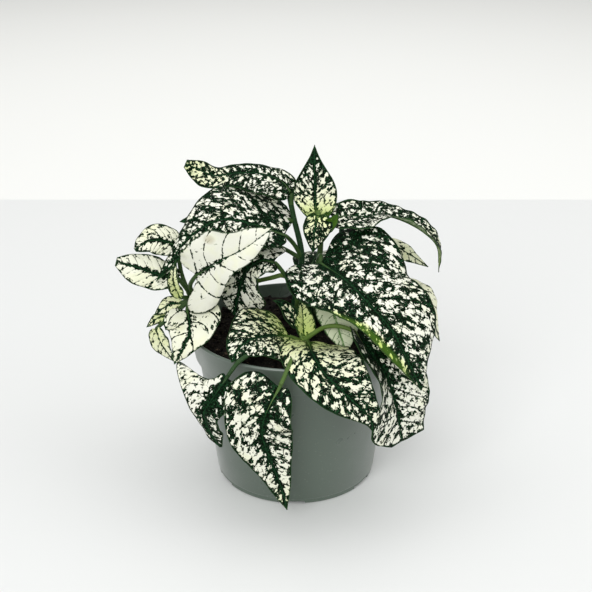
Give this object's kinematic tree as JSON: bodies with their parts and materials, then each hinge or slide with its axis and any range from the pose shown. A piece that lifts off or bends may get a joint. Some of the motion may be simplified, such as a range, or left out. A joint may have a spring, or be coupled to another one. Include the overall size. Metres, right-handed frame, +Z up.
{
  "type": "potted polka dot plant",
  "caption": "Potted leafy plant with pointed, wavy dark green leaves splashed cream white, arching over the rim of a tapered plastic nursery pot with a collar.",
  "frame": {"origin": "centre of the pot's underside, on the surface it stands on", "axes": "+Z up along the pot's axis, -Y towards the side that shows the most leaves, +X to the right as seen from that side"},
  "size_m": [0.1571, 0.1309, 0.1661],
  "materials": {
    "grey_green_plastic": "satin moulded plastic",
    "potting_soil": "crumbled, matt",
    "splashed_leaf": "satin dark green with cream-white splashes"
  },
  "bodies": {
    "root": {"pot": "grey_green_plastic", "soil": "potting_soil", "tall_shoot": "splashed_leaf", "upper_left_shoot": "splashed_leaf", "left_shoot": "splashed_leaf", "middle_shoot": "splashed_leaf", "front_shoot": "splashed_leaf", "right_shoot": "splashed_leaf"}
  },
  "joints": []
}
